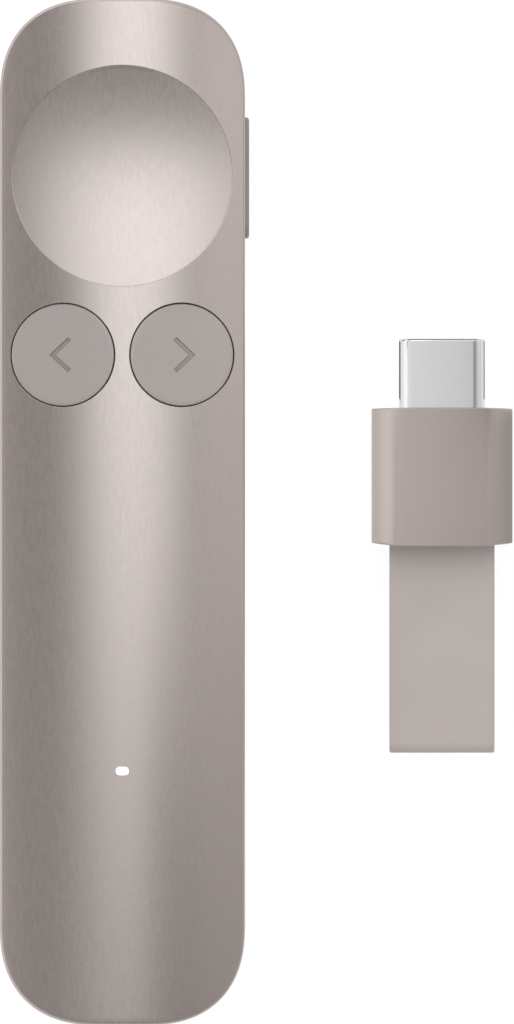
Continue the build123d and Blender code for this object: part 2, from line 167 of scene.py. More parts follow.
def circle(radius, count=96):
    """Points of a circle about the origin, as pairs."""
    turns = [2 * math.pi * i / count for i in range(count)]
    return [(radius * math.cos(turn), radius * math.sin(turn)) for turn in turns]


def rounded_rectangle(width, height, corner, steps):
    """Points of a rounded rectangle about the origin, as pairs, anticlockwise."""
    points = []
    for quarter, (side, top) in enumerate(((1, 1), (-1, 1), (-1, -1), (1, -1))):
        for step in range(steps + 1):
            turn = math.pi / 2 * (quarter + step / steps)
            x = side * (width / 2 - corner) + corner * math.cos(turn)
            y = top * (height / 2 - corner) + corner * math.sin(turn)
            points.append((x, y))
    return points


def plain_mesh(piece):
    """Replace a piece's mesh by what its modifiers make of it."""
    made = bpy.data.meshes.new_from_object(piece.evaluated_get(bpy.context.evaluated_depsgraph_get()))
    piece.modifiers.clear()
    piece.data = made
    return piece


def carve(piece, cutters, sharp_angle=30):
    """Cut closed meshes out of a piece, and drop the cutters."""
    for cutter in cutters:
        cut = piece.modifiers.new("cut", "BOOLEAN")
        cut.operation = "DIFFERENCE"
        cut.solver = "MANIFOLD"
        cut.object = cutter
    plain_mesh(piece)
    smooth_by_angle(piece.data, sharp_angle)
    for cutter in cutters:
        bpy.data.objects.remove(cutter)
    return piece


def check_closed(piece):
    """Print how many faces a piece has and whether its skin is closed."""
    bm = bmesh.new()
    bm.from_mesh(piece.data)
    open_edges = sum(1 for edge in bm.edges if not edge.is_manifold)
    volume = bm.calc_volume() / MM ** 3
    print(piece.name, len(bm.faces), "faces,", open_edges, "open edges,", round(volume, 1), "mm3")
    bm.free()


# %% [markdown]
# ## Tools: Geometry Nodes from a script
# A small class makes the nodes of a tree by short calls. The values that run through a tree can be added
# and multiplied like numbers, so that a formula in the script reads like the formula itself.

# %% Geometry Nodes helper


class Nodes:
    """Makes and links the nodes of a tree by short calls."""

    def __init__(self, group):
        self.group = group

    def feed(self, socket, value):
        """Link a node's output to a socket, or write a number into it."""
        value = getattr(value, "socket", value)
        if isinstance(value, bpy.types.NodeSocket):
            self.group.links.new(value, socket)
        else:
            socket.default_value = value

    def node(self, kind, inputs=(), **settings):
        """A node with its settings, and with its inputs given by name or number.

        A kind that doesn't start with Geometry is a shader node's.
        """
        node = self.group.nodes.new(kind if kind.startswith("Geometry") else "ShaderNode" + kind)
        for label, value in settings.items():
            setattr(node, label, value)
        for label, value in dict(inputs).items():
            self.feed(node.inputs[label], value)
        return node

    def out(self, kind, inputs=(), **settings):
        """The first output of a new node."""
        return self.node(kind, inputs, **settings).outputs[0]


class Value:
    """A number or a vector in a tree: arithmetic on it makes the nodes that do it."""

    def __init__(self, tree, socket):
        self.tree = tree
        self.socket = socket

    def __add__(self, other):
        return self.tree.work("ADD", self, other)

    def __sub__(self, other):
        return self.tree.work("SUBTRACT", self, other)

    def __rsub__(self, other):
        return self.tree.work("SUBTRACT", other, self)

    def __mul__(self, other):
        return self.tree.work("MULTIPLY", self, other)

    def __truediv__(self, other):
        return self.tree.work("DIVIDE", self, other)


class Tree(Nodes):
    """A Geometry Nodes tree with named sizes, built by calls."""

    def __init__(self, name, sizes):
        super().__init__(bpy.data.node_groups.new(name, "GeometryNodeTree"))
        sockets = self.group.interface
        sockets.new_socket("Geometry", in_out="OUTPUT", socket_type="NodeSocketGeometry")
        sockets.new_socket("Geometry", in_out="INPUT", socket_type="NodeSocketGeometry")
        for label, value in sizes.items():
            sockets.new_socket(label, in_out="INPUT", socket_type="NodeSocketFloat").default_value = value
        sockets.new_socket("Finish", in_out="INPUT", socket_type="NodeSocketMaterial")
        self.entry = self.group.nodes.new("NodeGroupInput").outputs
        self.sizes = [Value(self, self.entry[label]) for label in sizes]

    def work(self, operation, *values):
        """One step of arithmetic, with vectors where the first value is one."""
        vector = isinstance(values[0], Value) and values[0].socket.type == "VECTOR"
        if vector and operation == "MULTIPLY":
            operation = "SCALE"
        node = self.node("VectorMath" if vector else "Math", operation=operation)
        places = (0, "Scale") if operation == "SCALE" else range(len(values))
        for place, value in zip(places, values):
            self.feed(node.inputs[place], value)
        return Value(self, node.outputs[0])

    def point(self, x, y, z):
        """A vector from three numbers."""
        return Value(self, self.out("CombineXYZ", {"X": x, "Y": y, "Z": z}))

    def parts(self, vector):
        """The three numbers of a vector."""
        return [Value(self, part) for part in self.node("SeparateXYZ", {"Vector": vector}).outputs]

    def own_place(self):
        """The three numbers of each point's own position."""
        return self.parts(self.out("GeometryNodeInputPosition"))

    def moved(self, geometry, place):
        """A geometry whose points go where the rule says."""
        return self.out("GeometryNodeSetPosition", {"Geometry": geometry, "Position": place})

    def slab(self, width, height, count, radius):
        """A rectangle with rounded corners, as a curve."""
        flat = self.out("GeometryNodeCurvePrimitiveQuadrilateral", {"Width": width, "Height": height})
        return self.out("GeometryNodeFilletCurve", {"Curve": flat, "Count": count, "Radius": radius}, mode="POLY")

    def band(self, rows, columns, place):
        """A grid of faces whose points go where the rule says."""
        sizes = {"Size X": 1.0, "Size Y": 1.0, "Vertices X": rows, "Vertices Y": columns + 1}
        return self.moved(self.out("GeometryNodeMeshGrid", sizes), place)

    def finish(self, pieces, weld=0.001 * MM):
        """Join, weld, realize and paint the result, and close the tree."""
        joined = self.node("GeometryNodeJoinGeometry")
        for piece in pieces:
            self.group.links.new(piece, joined.inputs[0])
        real = self.out("GeometryNodeRealizeInstances", {"Geometry": joined.outputs[0]})
        if weld:
            real = self.out("GeometryNodeMergeByDistance", {"Geometry": real, "Distance": weld})
        painted = self.out("GeometryNodeSetMaterial", {"Geometry": real, "Material": self.entry["Finish"]})
        self.feed(self.group.nodes.new("NodeGroupOutput").inputs[0], painted)
        return self


def grow(name, tree, sizes, slot, source=None):
    """Run a tree on a mesh, or on nothing, with the given sizes, and keep the result as a plain mesh."""
    piece = new_object(name, source or bpy.data.meshes.new(name))
    modifier = piece.modifiers.new("grow", "NODES")
    modifier.node_group = tree.group
    for item in tree.group.interface.items_tree:
        if item.name in sizes and item.in_out == "INPUT":
            modifier[item.identifier] = sizes[item.name]
        if item.name == "Finish":
            modifier[item.identifier] = finishes[slot]
    return plain_mesh(piece)


# %% [markdown]
# ## Tools: finishes
# A finish is a material whose colour, gloss and relief come from patterns in space, so it needs no
# picture and no unwrapping. The patterns read object coordinates, which are in metres, so their sizes
# can be written in millimetres, as every other size is.

# %% Finish helper
finishes = {}


class Finish(Nodes):
    """A material on the Principled shader, kept under the name of its slot."""

    def __init__(self, name, **uniform):
        material = bpy.data.materials.new(name)
        material.use_nodes = True
        super().__init__(material.node_tree)
        finishes[name] = material
        self.shader = self.group.nodes["Principled BSDF"].inputs
        self.place = self.node("TexCoord").outputs["Object"]
        self.relief = None
        for label, value in uniform.items():
            self.shader[label.replace("_", " ")].default_value = value

    def pattern(self, kind, size, stretch=(1, 1, 1), **inputs):
        """Noise, cells or bands of a given size in millimetres, drawn out along some axes."""
        mapping = {"Vector": self.place, "Scale": [1 / (size * MM * factor) for factor in stretch]}
        mapped = self.out("Mapping", mapping)
        return self.out("Tex" + kind, {"Vector": mapped, "Scale": 1.0, **inputs})

    def spread(self, value, low=0.0, high=1.0, start=0.3, stop=0.7):
        """A pattern made to run from low to high between two of its own values."""
        limits = {"Value": value, "From Min": start, "From Max": stop, "To Min": low, "To Max": high}
        return self.out("MapRange", limits)

    def blend(self, share, first, second):
        """A colour between two colours."""
        ends = [end if isinstance(end, bpy.types.NodeSocket) else (*end, 1) for end in (first, second)]
        return self.node("Mix", {0: share, 6: ends[0], 7: ends[1]}, data_type="RGBA").outputs[2]

    def colour(self, share, first, second):
        """Base colour that wanders between two colours."""
        self.feed(self.shader["Base Color"], self.blend(share, first, second))

    def gloss(self, value, low, high, start=0.3, stop=0.7):
        """Roughness that wanders with a pattern."""
        self.feed(self.shader["Roughness"], self.spread(value, low, high, start, stop))

    def bump(self, height, depth):
        """Relief of a depth in millimetres, on top of the relief before it."""
        before = {"Normal": self.relief} if self.relief else {}
        self.relief = self.out("Bump", {"Height": height, "Distance": depth * MM, **before})
        self.feed(self.shader["Normal"], self.relief)
        return self


def shade_of(colour, factor):
    """A colour made lighter or darker."""
    return tuple(part * factor for part in colour)


# %% [markdown]
# ## Finish: blasted and anodised metal
# The casing and the receiver's sleeve are aluminium. Fine beads were blown at it and it was dyed a warm
# grey while it was anodised. So it is a metal, not a paint: its colour tints what it mirrors, and the
# beads' tiny pits spread each mirror image out. The pits follow the tool's path a little, which leaves
# streaks along the length that are finer than a hair. A slow drift in the dye keeps large faces alive.

# %% Metal finishes
metal_tint = (0.435, 0.378, 0.352)


def anodised(name, tint, roughness):
    """Satin metal with fine pits and a slow drift."""
    metal = Finish(name, Metallic=1.0)
    pits = metal.pattern("Noise", 0.28, (1, 4.5, 1), Detail=2.0)
    drift = metal.pattern("Noise", 11.0, (1, 1.6, 1), Detail=2.0)
    dye = metal.blend(metal.spread(drift), shade_of(tint, 0.985), shade_of(tint, 1.0))
    metal.colour(metal.spread(pits), dye, shade_of(tint, 1.02))
    metal.gloss(pits, roughness - 0.02, roughness + 0.02)
    metal.bump(pits, 0.0003)


anodised("shell_metal", metal_tint, 0.28)
anodised("receiver_metal", metal_tint, 0.40)
print("metal tint", metal_tint)

# %% [markdown]
# ## Finish: the caps and the key
# The arrow buttons and the side key are moulded, then painted in the casing's colour with a little metal
# flake in the paint. They are duller than the casing, and that is how a finger and an eye find them.
# Flake is small bright cells, and the moulding's fine texture is their relief and makes the gloss wander.

# %% Cap finishes


def flake_paint(name, tint, metallic, roughness):
    """Satin paint with fine metal flake."""
    paint = Finish(name, Metallic=metallic)
    flake = paint.pattern("Voronoi", 0.09)
    cloud = paint.pattern("Noise", 4.0, Detail=2.0)
    skin = paint.pattern("Noise", 0.07, Detail=2.0)
    base = paint.blend(paint.spread(cloud), shade_of(tint, 0.985), shade_of(tint, 1.015))
    paint.colour(paint.spread(flake, 0.0, 1.0, 0.15, 0.6), shade_of(tint, 1.03), base)
    paint.gloss(skin, roughness - 0.03, roughness + 0.03)
    paint.bump(skin, 0.0015)


flake_paint("cap_finish", (0.40, 0.352, 0.330), 0.35, 0.46)
flake_paint("key_finish", (0.300, 0.265, 0.247), 0.35, 0.42)

# %% [markdown]
# ## Finish: moulded parts
# A mould for a dark part is spark-eroded, so the part comes out with an even, fine grain. Two grain sizes
# on top of each other look like that; one alone looks like sand. The receiver's end parts are the same
# plastic in a warm grey, the switches' plungers in red, and chips are cast in black epoxy.

# %% Moulded finishes


def moulded(name, tint, roughness, grain=0.11, depth=0.006):
    """Plastic with a spark-eroded grain in two sizes."""
    plastic = Finish(name)
    coarse = plastic.pattern("Noise", grain, Detail=1.0)
    fine = plastic.pattern("Voronoi", grain * 0.45)
    flow = plastic.pattern("Noise", 3.0, (1, 2, 1), Detail=3.0)
    plastic.colour(plastic.spread(flow), shade_of(tint, 0.9), shade_of(tint, 1.1))
    plastic.gloss(coarse, roughness - 0.06, roughness + 0.06)
    plastic.bump(coarse, depth).bump(fine, depth * 0.4)


moulded("dark_moulding", (0.022, 0.021, 0.020), 0.50)
moulded("receiver_moulding", (0.090, 0.080, 0.074), 0.48)
moulded("switch_plunger", (0.32, 0.035, 0.025), 0.40, 0.07, 0.003)
moulded("chip_black", (0.018, 0.018, 0.019), 0.62, 0.06, 0.004)
moulded("chip_white", (0.62, 0.61, 0.58), 0.45, 0.05, 0.002)

# %% [markdown]
# ## Finish: circuit boards
# Green lacquer lies over copper tracks. Where a track runs, the lacquer stands a little higher and its
# green is lighter. Tracks run straight and turn at right angles, which the joints of a brick pattern do.

# %% Circuit board
board = Finish("circuit_board", Coat_Weight=0.3, Coat_Roughness=0.15)
courses = {"Mortar Size": 0.16, "Mortar Smooth": 0.1, "Brick Width": 2.6, "Row Height": 0.9}
courses.update({"Color1": (0, 0, 0, 1), "Color2": (0, 0, 0, 1), "Mortar": (1, 1, 1, 1)})
tracks = board.pattern("Brick", 0.7, **courses)
weave = board.pattern("Noise", 0.25, Detail=2.0)
board.colour(board.spread(tracks, 0, 1, 0, 1), (0.008, 0.062, 0.034), (0.020, 0.135, 0.070))
board.gloss(weave, 0.24, 0.34)
board.bump(tracks, 0.018).bump(weave, 0.003)

# %% [markdown]
# ## Finish: steel and gold
# Rolled sheet shows long faint lines along the way it was rolled. The plug's shell is polished after it
# is drawn, so its lines are fainter still and it mirrors like a car's chrome. Contacts get a gold flash.

# %% Steel and gold finishes


def rolled(name, tint, roughness, length, depth):
    """Sheet metal with the lines of rolling or polishing along Y."""
    sheet = Finish(name, Metallic=1.0)
    lines = sheet.pattern("Noise", 0.05, (1, length, 1), Detail=2.0)
    haze = sheet.pattern("Noise", 1.6, Detail=3.0)
    sheet.colour(sheet.spread(haze), shade_of(tint, 0.99), shade_of(tint, 1.01))
    sheet.gloss(lines, roughness * 0.85, roughness * 1.15)
    sheet.bump(lines, depth)


rolled("sheet_steel", (0.50, 0.50, 0.50), 0.34, 22, 0.0015)
rolled("polished_steel", (0.70, 0.70, 0.70), 0.13, 30, 0.0002)
rolled("gold_contacts", (0.83, 0.58, 0.24), 0.24, 12, 0.0004)

# %% [markdown]
# ## Finish: cell, foam and film
# The cell is wrapped in a laminated foil that creases as it is folded round it. Under it lies foam, which
# is closed cells. The flat lead is an amber film in which the copper tracks show as lengthwise stripes.

# %% Foil, foam and film
foil = Finish("cell_foil", Metallic=0.9)
creases = foil.pattern("Voronoi", 3.2, (1, 1.7, 1))
dimples = foil.pattern("Noise", 0.7, Detail=3.0)
foil.colour(foil.spread(dimples), (0.50, 0.51, 0.52), (0.62, 0.63, 0.64))
foil.gloss(creases, 0.26, 0.38, 0.1, 0.8)
foil.bump(creases, 0.05).bump(dimples, 0.02)

foam = Finish("foam_tape")
cells = foam.pattern("Voronoi", 0.3)
foam.colour(foam.spread(cells, 0, 1, 0.1, 0.7), (0.010, 0.010, 0.010), (0.030, 0.030, 0.030))
foam.gloss(cells, 0.8, 0.95)
foam.bump(cells, 0.06)

film = Finish("flex_film", Coat_Weight=0.4, Coat_Roughness=0.12)
stripes = film.pattern("Wave", 1.9, Distortion=0.0)
ripple = film.pattern("Noise", 1.2, Detail=2.0)
film.colour(film.spread(stripes, 0, 1, 0.35, 0.55), (0.20, 0.075, 0.012), (0.42, 0.17, 0.035))
film.gloss(ripple, 0.22, 0.32)
film.bump(stripes, 0.01)

# %% [markdown]
# ## Finish: the lamp
# A clear bar carries the lamp's light up to the window, and its satin end face glows an even white. The
# face gives off its own light here, so it stays white in any scene.

# %% Lamp
lens = Finish("lamp_lens", Emission_Color=(1.0, 0.99, 0.98, 1), Emission_Strength=0.9)
frost = lens.pattern("Noise", 0.06, Detail=2.0)
lens.colour(lens.spread(frost), (0.80, 0.80, 0.80), (0.86, 0.86, 0.86))
lens.gloss(frost, 0.35, 0.45)
lens.bump(frost, 0.002)

# %% [markdown]
# ## Finish: the strap
# The strap is a soft-touch rubber: nearly matt, and with a faint bloom where it turns away from the eye,
# which is what the sheen adds. Its skin has the grain of the mould, and it handles a little unevenly.

# %% Strap
rubber = Finish("strap_rubber", Sheen_Weight=0.12, Sheen_Roughness=0.5, Specular_IOR_Level=0.35)
skin = rubber.pattern("Noise", 0.08, Detail=2.0)
handling = rubber.pattern("Noise", 5.0, Detail=2.0)
rubber.colour(rubber.spread(handling), (0.494, 0.434, 0.406), (0.515, 0.453, 0.423))
rubber.gloss(skin, 0.66, 0.76)
rubber.bump(skin, 0.0035)
print(len(finishes), "finishes")

# %% [markdown]
# ## Tools: putting a piece in its place
# Every piece is treated alike once its shape is done: it wears the finish of its slot, it rides on the
# body that it belongs to, and the plain solid that it stands for is hidden.

# %% Placing helper


def dress(piece, slot):
    """Give every face of a piece the finish of a slot."""
    piece.data.materials.clear()
    piece.data.materials.append(finishes[slot])
    piece.data.polygons.foreach_set("material_index", [0] * len(piece.data.polygons))
    return piece


def settle(piece, body, slot, *nodes):
    """Dress a finished piece, let it ride on its body, and let it stand for its nodes."""
    check_closed(piece)
    dress(piece, slot)
    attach(piece, body)
    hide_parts(*nodes)


# %% [markdown]
# ## The casing's form
# In plan the casing is a rectangle whose corners ease into its straights, so that the eye finds no place
# where they start. Its front is a shallow arc across the width. Where the front meets the wall a ball
# could roll round the edge: that is how a milled edge is rounded. Such a form follows a rule, so Geometry
# Nodes make it. Each band of faces is a plain grid whose points are sent to their place: across the back,
# round the back edge, up the wall, round the front edge and over the crown. The same tree, a wall's
# thickness smaller, makes the room inside.

# %% The casing tree
casing_sizes = {
    "Length": casing_length * MM,
    "Width": casing_width * MM,
    "Height": casing_height * MM,
    "Low": 0.0,
    "Corner Reach": corner_reach * MM,
    "Corner Power": corner_power,
    "Crown Radius": crown_radius * MM,
    "Front Edge": front_edge * MM,
    "Back Edge": back_edge * MM,
}
outline_columns = 560


def casing_tree():
    """Closed casing block: a rectangle with eased corners in plan, under a cylindrical crown."""
    t = Tree("casing_form", casing_sizes)
    length, width, height, low, reach, power, crown, front, rear = t.sizes
    outline = t.slab(width, length, 90, reach)

    # ease the round corners into the straights: a superellipse in place of a circle
    eased = []
    for value, span in zip(t.own_place(), (width, length)):
        distance = t.work("ABSOLUTE", value)
        straight = span * 0.5 - reach
        beyond = t.work("MAXIMUM", distance - straight, 0.0)
        curved = t.work("POWER", beyond / reach, t.work("DIVIDE", 2.0, power))
        eased.append(t.work("SIGN", value) * (t.work("MINIMUM", distance, straight) + curved * reach))
    outline = t.moved(outline, t.point(*eased, 0.0))

    # u runs along a band's rows, and v once round the outline from the middle of the right flank
    x, y, _ = t.own_place()
    u, v = x + 0.5, y + 0.5
    around = Value(t, t.out("GeometryNodeCurveLength", {"Curve": outline}))
    factor = t.work("FRACT", v - (length * 0.5 - reach) / around)
    sample = t.node("GeometryNodeSampleCurve", {"Curves": outline, "Factor": factor}, use_all_curves=True)
    rim = Value(t, sample.outputs["Position"])
    outward = t.work("NORMALIZE", t.work("CROSS_PRODUCT", Value(t, sample.outputs["Tangent"]), (0, 0, 1)))

    # the spine that the front and the back shrink to
    half_spine = (length - width) * 0.5
    spine_y = t.work("MINIMUM", t.parts(rim)[1], half_spine)
    spine = t.point(0.0, t.work("MAXIMUM", spine_y, half_spine * -1.0), 0.0)

    # back and back edge
    back_ball = rim - outward * rear
    back = spine + (back_ball - spine) * u + t.point(0.0, 0.0, low)
    turn = (u - 1.0) * (math.pi / 2)
    rise = low + rear * (t.work("SINE", turn) + 1.0)
    back_round = back_ball + outward * (rear * t.work("COSINE", turn)) + t.point(0.0, 0.0, rise)

    # front edge: the ball touches the wall and the crown
    centre = height - crown
    ball_x, ball_y, _ = t.parts(rim - outward * front)
    inner_radius = crown - front
    lift = t.work("SQRT", inner_radius * inner_radius - ball_x * ball_x)
    ball_z = centre + lift
    ball = t.point(ball_x, ball_y, ball_z)
    upward = t.work("NORMALIZE", t.point(ball_x, 0.0, lift))
    heading = t.work("NORMALIZE", outward * (1.0 - u) + upward * u)
    front_round = ball + heading * front

    # wall between the two edges
    wall_low = low + rear
    side = rim + t.point(0.0, 0.0, wall_low + u * (ball_z - wall_low))

    # crown from the edge's end in to the spine
    touch_x, touch_y, _ = t.parts(ball + upward * front)
    inward = (t.point(touch_x, touch_y, 0.0) - spine) * (1.0 - u)
    inner_x, inner_y, _ = t.parts(spine + inward)
    drop = t.work("SQRT", crown * crown - inner_x * inner_x)
    top = t.point(inner_x, inner_y, centre + drop)

    bands = [(9, back), (9, back_round), (11, side), (12, front_round), (26, top)]
    return t.finish([t.band(rows, outline_columns, rule) for rows, rule in bands])


casing = casing_tree()


def casing_block(name, inset=0.0, **other):
    """The casing's form, or one a given inset smaller all round."""
    sizes = dict(casing_sizes)
    for label, times in (("Length", 2), ("Width", 2), ("Corner Reach", 1), ("Crown Radius", 1), ("Height", 1)):
        sizes[label] -= times * inset * MM
    for label, value in other.items():
        sizes[label.replace("_", " ")] = value * MM
    block = grow(name, casing, sizes, "shell_metal")
    bm = bmesh.new()
    bm.from_mesh(block.data)
    bmesh.ops.dissolve_degenerate(bm, edges=bm.edges, dist=0.0005 * MM)
    bmesh.ops.recalc_face_normals(bm, faces=bm.faces)
    bm.to_mesh(block.data)
    bm.free()
    return block


check_closed(casing_block("trial"))
bpy.data.objects.remove(bpy.data.objects["trial"])

# %% [markdown]
# ## Cutters for the front
# Every opening in the crowned front has a rim that follows the crown, with a hair of a chamfer on it, as
# a real milled rim has: without it no light catches the edge. So a cutter is a stack of loops, each
# given by its distance from the middle and its depth under the crown at that very place.

# %% Cutters


def crown_height(x):
    """Height of the crown at a distance from the centre line."""
    return casing_height - crown_radius + math.sqrt(crown_radius ** 2 - x * x)


dish_along = (dish_radius ** 2 + dish_depth ** 2) / (2 * dish_depth)
dish_fall = casing_height - dish_depth - crown_height(dish_radius)
dish_across = (dish_radius ** 2 + dish_fall ** 2) / (2 * dish_fall)


def dish_height(x, y):
    """Height of the dish: hollow along the casing, still a little crowned across it, and sunk to the tail."""
    low = casing_height - dish_depth - dish_step
    ring = dish_across + dish_along - math.sqrt(dish_along ** 2 - (y - dish_y) ** 2)
    sunk = (dish_radius - (y - dish_y)) * math.tan(dish_lean)
    return low - dish_across + math.sqrt(ring ** 2 - x * x) - sunk


def dish_cutter():
    """The dish as a closed body, with a fine flare where it meets the crown."""
    loops = []
    rings = [0.02, 0.3] + [0.6 * i for i in range(1, 18)] + [dish_radius - 0.03]
    for radius in rings:
        loops.append([(x, dish_y + y, dish_height(x, dish_y + y)) for x, y in circle(radius, 240)])
    for radius, rise in ((dish_radius, -0.03), (dish_radius + 0.05, 0.02), (dish_radius + 0.4, 1.5)):
        loops.append([(x, dish_y + y, crown_height(x) + rise) for x, y in circle(radius, 240)])
    return stack("dish_cutter", loops)


def bore_cutter(outline, x, y, depth, flare=0.05):
    """An upright opening in the crown, with a chamfered rim, for an outline given as pairs."""
    reach = max(math.hypot(a, b) for a, b in outline)
    loops = []
    for grow_by, rise in ((0, -depth), (0, -flare), (2 * flare, flare), (2 * flare, 2.0)):
        scale = 1 + grow_by / reach
        loops.append([(x + a * scale, y + b * scale, crown_height(x + a * scale) + rise) for a, b in outline])
    return stack("bore_cutter", loops)


def box_cutter(low, high):
    """A plain box between two corners."""
    x, y = [(a + b) / 2 for a, b in zip(low, high)][:2]
    flat = rounded_rectangle(high[0] - low[0], high[1] - low[1], 0.1, 1)
    return stack("box_cutter", [[(x + a, y + b, z) for a, b in flat] for z in (low[2], high[2])])


def pill(length, height, steps):
    """Points of a slot with round ends, about the origin."""
    return rounded_rectangle(length, height, height / 2 - 0.001, steps)


# %% [markdown]
# ## The front shell
# The real shell is milled from one block of metal, and its dish is milled with it: there is no joint
# round the dish. So it is carved here as well. First the casing's form is cut at the parting line, then
# the room inside is taken out, then the dish, the bores for the arrow buttons, the window, the key's
# slot and the dock's mouth.

# %% Front shell and back cover
half_length = casing_length / 2
half_width = casing_width / 2
dock_z = 5.8
mouth = (14.6, 7.7, 3.4)
button_low, button_high = box_mm("next_button")
button_to_tail = 0.1
button_trim = 0.04
button_x = (button_low.x + button_high.x) / 2
button_y = (button_low.y + button_high.y) / 2 - button_to_tail
button_radius = (button_high.x - button_low.x) / 2 - button_trim
key_low, key_high = box_mm("side_key")
key_y = (key_low.y + key_high.y) / 2
key_z = (key_low.z + key_high.z) / 2
key_size = (11.65, 2.6)
key_gap = 0.1
window_y = sum(corner.y for corner in box_mm("light_pipe")) / 2
window_size = (1.26, 0.81)
window_flare = 0.03
bore_depth = 3.0
web_radius = 11.4
web_span = (9.3, 14.0)
seam_depth = 0.09
seam_rise = 0.07


def room_inside():
    """The space inside the casing, less the thick web behind the dish."""
    room = casing_block("room", wall, Low=wall, Front_Edge=0.4, Back_Edge=0.3)
    web = stack("web", [[(x, dish_y + y, z) for x, y in circle(web_radius)] for z in web_span])
    return carve(room, [web])


def seam_groove(low, high):
    """A ring just inside the outline, which leaves a fine groove at the parting line."""
    slab = box_cutter((-20, -60, low), (20, 60, high))
    return carve(slab, [casing_block("core", seam_depth, Height=20)])


def dock_mouth():
    """The opening in the tail for the receiver."""
    width, height, corner = mouth
    loops = []
    for inward, wider in ((-1, 0.25), (0.05, 0.2), (0.25, 0), (4, 0)):
        outline = rounded_rectangle(width + 2 * wider, height + 2 * wider, corner + wider, 16)
        loops.append([(a, inward - half_length, dock_z + b) for a, b in outline])
    return stack("mouth_cutter", loops)


def front_shell():
    """The milled shell with everything that opens in it."""
    below = box_cutter((-20, -60, -5), (20, 60, parting))
    openings = [below, room_inside(), dish_cutter(), dock_mouth(), seam_groove(parting - 1, parting + seam_rise)]
    bore = circle(button_radius + bore_gap, 128)
    openings += [bore_cutter(bore, side * button_x, button_y, bore_depth) for side in (-1, 1)]
    openings.append(bore_cutter(pill(*window_size, 10), 0, window_y, bore_depth, window_flare))
    slot = pill(key_size[0] + 2 * key_gap, key_size[1] + 2 * key_gap, 16)
    ends = (half_width - 2.4, half_width + 1)
    openings.append(stack("slot_cutter", [[(x, key_y + a, key_z + b) for a, b in slot] for x in ends]))
    return carve(casing_block("front_shell_skin"), openings)


def back_cover():
    """The tray that closes the back."""
    above = box_cutter((-20, -60, parting), (20, 60, 20))
    openings = [above, room_inside(), dock_mouth(), seam_groove(parting - seam_rise, parting + 1)]
    return carve(casing_block("back_cover_skin"), openings)


settle(front_shell(), "clicker", "shell_metal", "front_shell")
settle(back_cover(), "clicker", "shell_metal", "back_cover")

# %% [markdown]
# ## The arrow buttons
# Each button is a turned cap whose face lies just under the crown and leans with it. Along the casing
# the face is hollow by a few hundredths of a millimetre, like the dish: a thumb hardly feels it, but the
# light on it turns. Its arrow is engraved with sloping walls, so that one wall of each stroke catches
# the light and the other is dark.

# %% Arrow buttons
button_recess = 0.2
button_hollow = 0.03
button_lean = math.asin(button_x / crown_radius)


def cap_face_height(side, x, y):
    """Height of a button's leaning face, which is a little hollow along the casing."""
    sunk = button_hollow * (1 - ((y - button_y) / button_radius) ** 2)
    return crown_height(button_x) - button_recess - side * (x - side * button_x) * math.tan(button_lean) - sunk


def arrow_cutter(side):
    """The engraved chevron: a stroke with sloping walls along two arms that meet in a point."""
    run, rise, shift = 1.65, 3.1, 0.17
    angle = math.atan2(rise / 2, run)
    loops = []
    for half, lift in ((0.24, 0.06), (0.21, 0.0), (0.14, -0.28)):
        tip = half / math.sin(angle)
        across, along = half * math.sin(angle), half * math.cos(angle)
        upper = [(-run / 2 - tip, 0), (run / 2 - across, rise / 2 + along), (run / 2 + across, rise / 2 - along)]
        corners = upper + [(tip - run / 2, 0)] + [(a, -b) for a, b in upper[:0:-1]]
        loops.append([(side * (button_x + shift - a), button_y + b, lift) for a, b in corners])
    return stack("arrow_cutter", [[(x, y, cap_face_height(side, x, y) + z) for x, y, z in loop] for loop in loops])


def arrow_cap(name, side):
    """One button cap with its chamfered rim, its skirt and its arrow."""
    low = button_low.z + 2.0
    loops = [[(side * button_x + a, button_y + b, low) for a, b in circle(button_radius, 160)]]
    inner = [(button_radius - radius, 0.0) for radius in (4.4, 3.6, 2.8, 2.0, 1.2, 0.4)]
    for shrink, drop in [(0, 0.12), (0.03, 0.05), (0.08, 0.012), (0.14, 0.0)] + inner:
        loop = []
        for a, b in circle(button_radius - shrink, 160):
            x, y = side * button_x + a, button_y + b
            loop.append((x, y, cap_face_height(side, x, y) - drop))
        loops.append(loop)
    return carve(stack(name, loops), [arrow_cutter(side)], sharp_angle=20)


for side, body, node in ((-1, "left_button", "prev_button"), (1, "right_button", "next_button")):
    settle(arrow_cap(node + "_cap", side), body, "cap_finish", node)

# %% [markdown]
# ## The side key
# A long key with round ends, which stands four tenths of a millimetre proud of the flank.

# %% Side key
key_root = key_high.x - half_width + 1.5
key_loops = []
for inward, shrink in ((key_root, 0), (0.3, 0), (0.2, 0.014), (0.1, 0.06), (0.03, 0.15), (0, 0.3), (0, 0.5)):
    outline = pill(key_size[0] - 2 * shrink, key_size[1] - 2 * shrink, 24)
    key_loops.append([(key_high.x - inward, key_y + a, key_z + b) for a, b in outline])
settle(stack("side_key_cap", key_loops), "key", "key_finish", "side_key")

# %% [markdown]
# ## The receiver
# The sleeve is a short length of drawn metal tube with nearly flat faces and round flanks. Both its ends
# are a shallow arch in plan, and their edges are broken by a small rounding. It is a ring of loops: out
# along the outside, round the end and back along the inside.

# %% Receiver housing
sleeve_low, sleeve_high = box_mm("receiver_sleeve")
receiver_x = (sleeve_low.x + sleeve_high.x) / 2
receiver_z = (sleeve_low.z + sleeve_high.z) / 2
receiver_width = sleeve_high.x - sleeve_low.x
receiver_thickness = sleeve_high.z - sleeve_low.z
receiver_corner = 3.0
sleeve_wall = 0.7
end_round = 0.15
front_arch = 0.15
tail_arch = 0.45
tail_longer = 0.2


